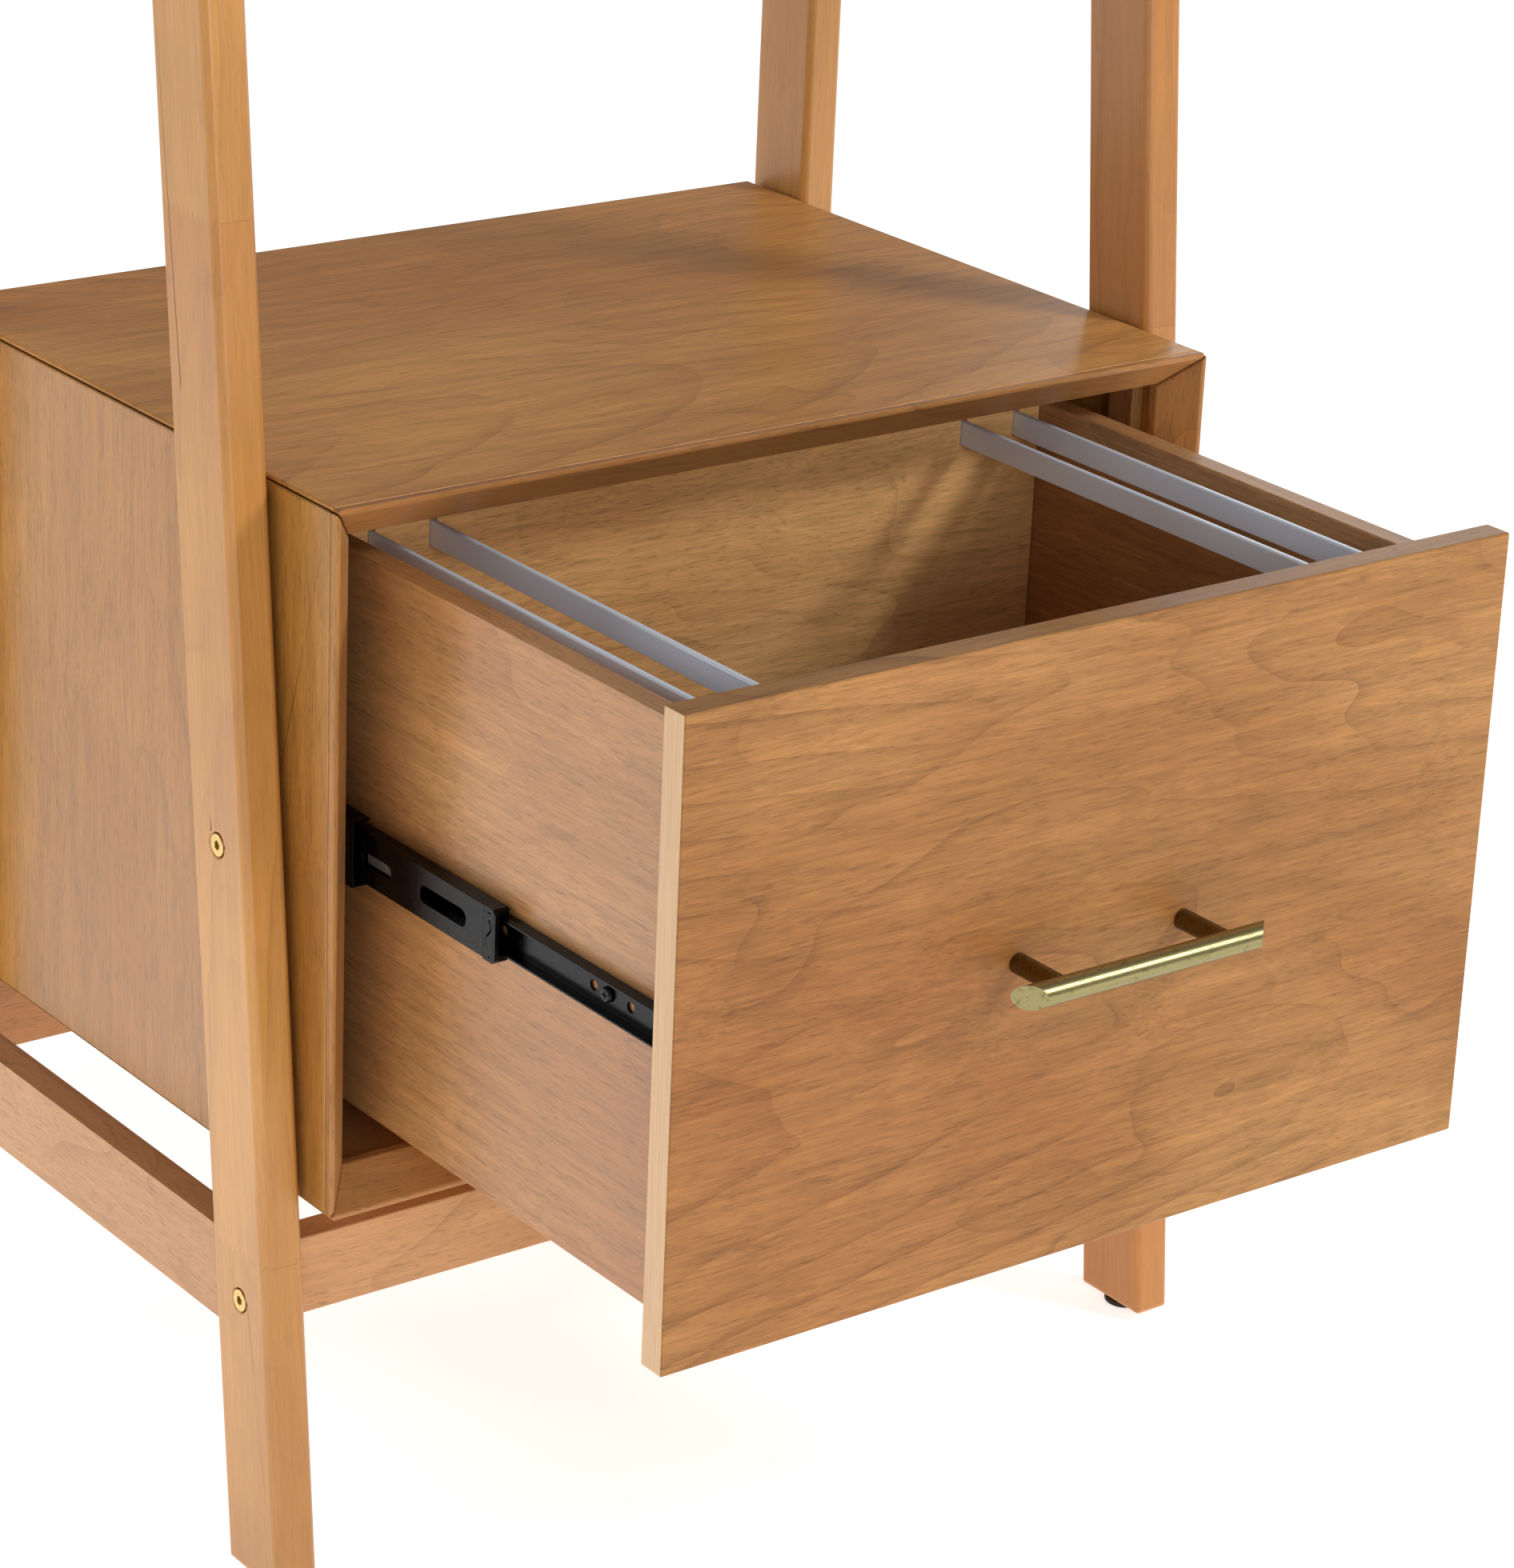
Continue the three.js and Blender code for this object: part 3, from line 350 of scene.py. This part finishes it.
EDGE = {"top": 0.0007, "bottom": 0.0007, "front": 0.0009, "rail": 0.0004, "slide": 0.00025, "stop": 0.0004, "screw": 0.00015,
        "bolt": 0.0003, "brass": 0.0003, "bronze": 0.0002, "spacer": 0.0003, "glide": 0.0005}
ROUND = ("handle_", "bolt_", "leg_spacer", "foot_", "slide_screw")
for name, ob in nodes.items():
    key = choice(name)
    me = ob.data
    me.materials.clear()
    me.materials.append(M[key])
    rounded = name.startswith(ROUND)
    for p in me.polygons:
        p.material_index = 0
        p.use_smooth = rounded
    if "custom_normal" in me.attributes:
        me.attributes.remove(me.attributes["custom_normal"])
    weld = ob.modifiers.new("weld", "WELD")
    weld.merge_threshold = 0.00001
    bev = ob.modifiers.new("eased", "BEVEL")
    bev.width = 0.0012 if key.startswith("leg_") else EDGE.get(key, 0.0008)
    bev.segments = 3
    bev.limit_method = "ANGLE"
    bev.angle_limit = math.radians(28)
    bev.use_clamp_overlap = rounded
    bev.harden_normals = rounded

# ------------------------------------------------------------------ added pieces
def piece(name, bm, mat, body, smooth=False, bevel=0.0, segments=2):
    me = bpy.data.meshes.new(name)
    bmesh.ops.recalc_face_normals(bm, faces=bm.faces)
    bm.to_mesh(me)
    bm.free()
    ob = bpy.data.objects.new(name, me)
    bpy.context.scene.collection.objects.link(ob)
    me.materials.append(mat)
    for p in me.polygons:
        p.use_smooth = smooth
    if bevel:
        b = ob.modifiers.new("eased", "BEVEL")
        b.width, b.segments, b.limit_method, b.angle_limit = bevel, segments, "ANGLE", math.radians(28)
    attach(ob, body)
    return ob


def box_into(bm, x0, x1, y0, y1, z0, z1):
    v = [bm.verts.new((x, y, z)) for z in (z0, z1) for y in (y0, y1) for x in (x0, x1)]
    for f in ((0, 2, 3, 1), (4, 5, 7, 6), (0, 1, 5, 4), (2, 6, 7, 3), (0, 4, 6, 2), (1, 3, 7, 5)):
        bm.faces.new([v[i] for i in f])


# drawer front as one clean board with softly eased edges
lo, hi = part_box("drawer_front")
bm = bmesh.new()
box_into(bm, lo.x, hi.x, lo.y, hi.y, lo.z, hi.z)
front = piece("drawer_front_board", bm, M["front"], "drawer", bevel=0.0010, segments=3)
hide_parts("drawer_front")

M["cage"] = metal("slide_cage_steel", (150, 150, 152), 0.35, 0.8, None, 0.3, 0.2, (60, 60, 62))
ZS = 0.3705
for side, sg in (("left", -1.0), ("right", 1.0)):
    body = f"slide_middle_{side}"
    slo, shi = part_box(f"slide_end_stop_{side}")
    out = slo.x if sg < 0 else shi.x

    def xs(a, b):
        """depths measured inwards from the end stop's outer face"""
        p, q = out - sg * a, out - sg * b
        return min(p, q), max(p, q)

    # ball cage seen through the middle member's hole
    bm = bmesh.new()
    box_into(bm, *xs(0.0022, 0.0026), slo.y + 0.082, slo.y + 0.108, ZS - 0.0026, ZS + 0.0026)
    piece(f"slide_cage_{side}", bm, M["cage"], body)
    # the end stop's sprung latch: a raised S-shaped tongue, two guide ribs and a lip
    bm = bmesh.new()
    box_into(bm, *xs(0.0, 0.0011), slo.y + 0.0012, slo.y + 0.0022, ZS - 0.0118, ZS + 0.0118)
    box_into(bm, *xs(0.0, 0.0011), slo.y + 0.0035, slo.y + 0.0092, ZS + 0.0098, ZS + 0.0112)
    box_into(bm, *xs(0.0, 0.0011), slo.y + 0.0035, slo.y + 0.0092, ZS - 0.0112, ZS - 0.0098)
    piece(f"end_stop_ribs_{side}", bm, M["stop"], body, bevel=0.0003)
    bm = bmesh.new()
    pts = []
    for i in range(13):
        t = i / 12
        pts.append((slo.y + 0.0055 + 0.0022 * math.sin(t * 2 * math.pi), ZS - 0.0075 + 0.015 * t))
    x0, x1 = xs(-0.0000, 0.0012)
    rings_ = []
    for (y, z) in pts:
        rings_.append([bm.verts.new((x0, y - 0.0009, z)), bm.verts.new((x1, y - 0.0009, z)),
                       bm.verts.new((x1, y + 0.0009, z)), bm.verts.new((x0, y + 0.0009, z))])
    for p, q in zip(rings_, rings_[1:]):
        for k in range(4):
            bm.faces.new([p[k], p[(k + 1) % 4], q[(k + 1) % 4], q[k]])
    bm.faces.new(rings_[0][::-1])
    bm.faces.new(rings_[-1])
    piece(f"end_stop_latch_{side}", bm, M["stop"], body, bevel=0.0002)

# ------------------------------------------------------------------ stage
def stage_mesh(name, verts, faces, mat):
    me = bpy.data.meshes.new(name)
    me.from_pydata(verts, [], faces)
    ob = bpy.data.objects.new(name, me)
    bpy.context.scene.collection.objects.link(ob)
    me.materials.append(mat)
    return ob


fg = Graph("floor_pale")
fx, fy, fz = fg.split(fg.coords())
fn = fg.noise(fg.coords(), 1.3, 2.0)
fg.put(fg.bsdf.inputs["Base Color"], fg.mix(fn, (0.90, 0.90, 0.90, 1), (0.93, 0.93, 0.93, 1)))
fg.bsdf.inputs["Roughness"].default_value = 0.9
fg.bsdf.inputs["Specular IOR Level"].default_value = 0.1
fg.bsdf.inputs["Emission Color"].default_value = (1, 1, 1, 1)
# the light table is stronger beside the left of the cabinet
dx, dy = fg.math("ADD", fx, 0.80), fg.math("MULTIPLY", fg.math("SUBTRACT", fy, 0.20), 0.7)
dist = fg.math("SQRT", fg.math("ADD", fg.math("MULTIPLY", dx, dx), fg.math("MULTIPLY", dy, dy)))
fg.put(fg.bsdf.inputs["Emission Strength"], fg.step(dist, 0.20, 0.75, 1.45, 0.68))
stage_mesh("floor", [(-16, -16, -0.0003), (16, -16, -0.0003), (16, 16, -0.0003), (-16, 16, -0.0003)], [(0, 1, 2, 3)], fg.mat)

scene = bpy.context.scene
world = bpy.data.worlds.new("studio")
world.use_nodes = True
world.node_tree.nodes["Background"].inputs[0].default_value = (1, 1, 1, 1)
world.node_tree.nodes["Background"].inputs[1].default_value = 0.27
scene.world = world


def softbox(name, loc, aim, size, power, colour=(1, 1, 1)):
    li = bpy.data.lights.new(name, "AREA")
    li.shape = "RECTANGLE"
    li.size, li.size_y = size
    li.energy = power
    li.color = colour
    ob = bpy.data.objects.new(name, li)
    ob.location = loc
    ob.rotation_euler = (Vector(aim) - Vector(loc)).to_track_quat("-Z", "Y").to_euler()
    scene.collection.objects.link(ob)
    return ob


softbox("key", (2.27, -2.72, 2.88), (0, -0.1, 0.4), (0.9, 0.9), 76)
softbox("front", (-0.9, -3.5, 1.2), (0, -0.1, 0.4), (1.6, 1.2), 36)
softbox("fill", (-1.95, 1.85, 1.05), (-0.2, -0.2, 0.4), (0.9, 0.9), 15)
softbox("rim", (2.5, 1.9, 1.30), (0.2, 0.1, 0.55), (0.9, 0.6), 6)

# ------------------------------------------------------------------ camera
AZ, EL, ROLL = math.radians(37.291), math.radians(21.173), math.radians(2.437)
POS = Vector((-1.3272, -1.4758 - 0.29245, 1.2162))
fwd = Vector((math.sin(AZ) * math.cos(EL), math.cos(AZ) * math.cos(EL), -math.sin(EL)))
right = Vector((math.cos(AZ), -math.sin(AZ), 0.0))
up = right.cross(fwd)
right2 = right * math.cos(ROLL) + up * math.sin(ROLL)
up2 = up * math.cos(ROLL) - right * math.sin(ROLL)
cam_data = bpy.data.cameras.new("camera")
cam = bpy.data.objects.new("camera", cam_data)
scene.collection.objects.link(cam)
m = Matrix.Identity(4)
for i in range(3):
    m[i][0], m[i][1], m[i][2], m[i][3] = right2[i], up2[i], -fwd[i], POS[i]
cam.matrix_world = m
cam_data.sensor_fit = "VERTICAL"
cam_data.sensor_height = 36.0
cam_data.lens = 6025.839 / 1960 * 36.0
cam_data.shift_x = (946 - 931.373) / 1960
cam_data.shift_y = (949.874 - 980) / 1960
cam_data.clip_start = 0.05
cam_data.clip_end = 60
scene.camera = cam
scene.view_settings.view_transform = "Standard"
scene.view_settings.look = "None"
scene.view_settings.exposure = 0.0
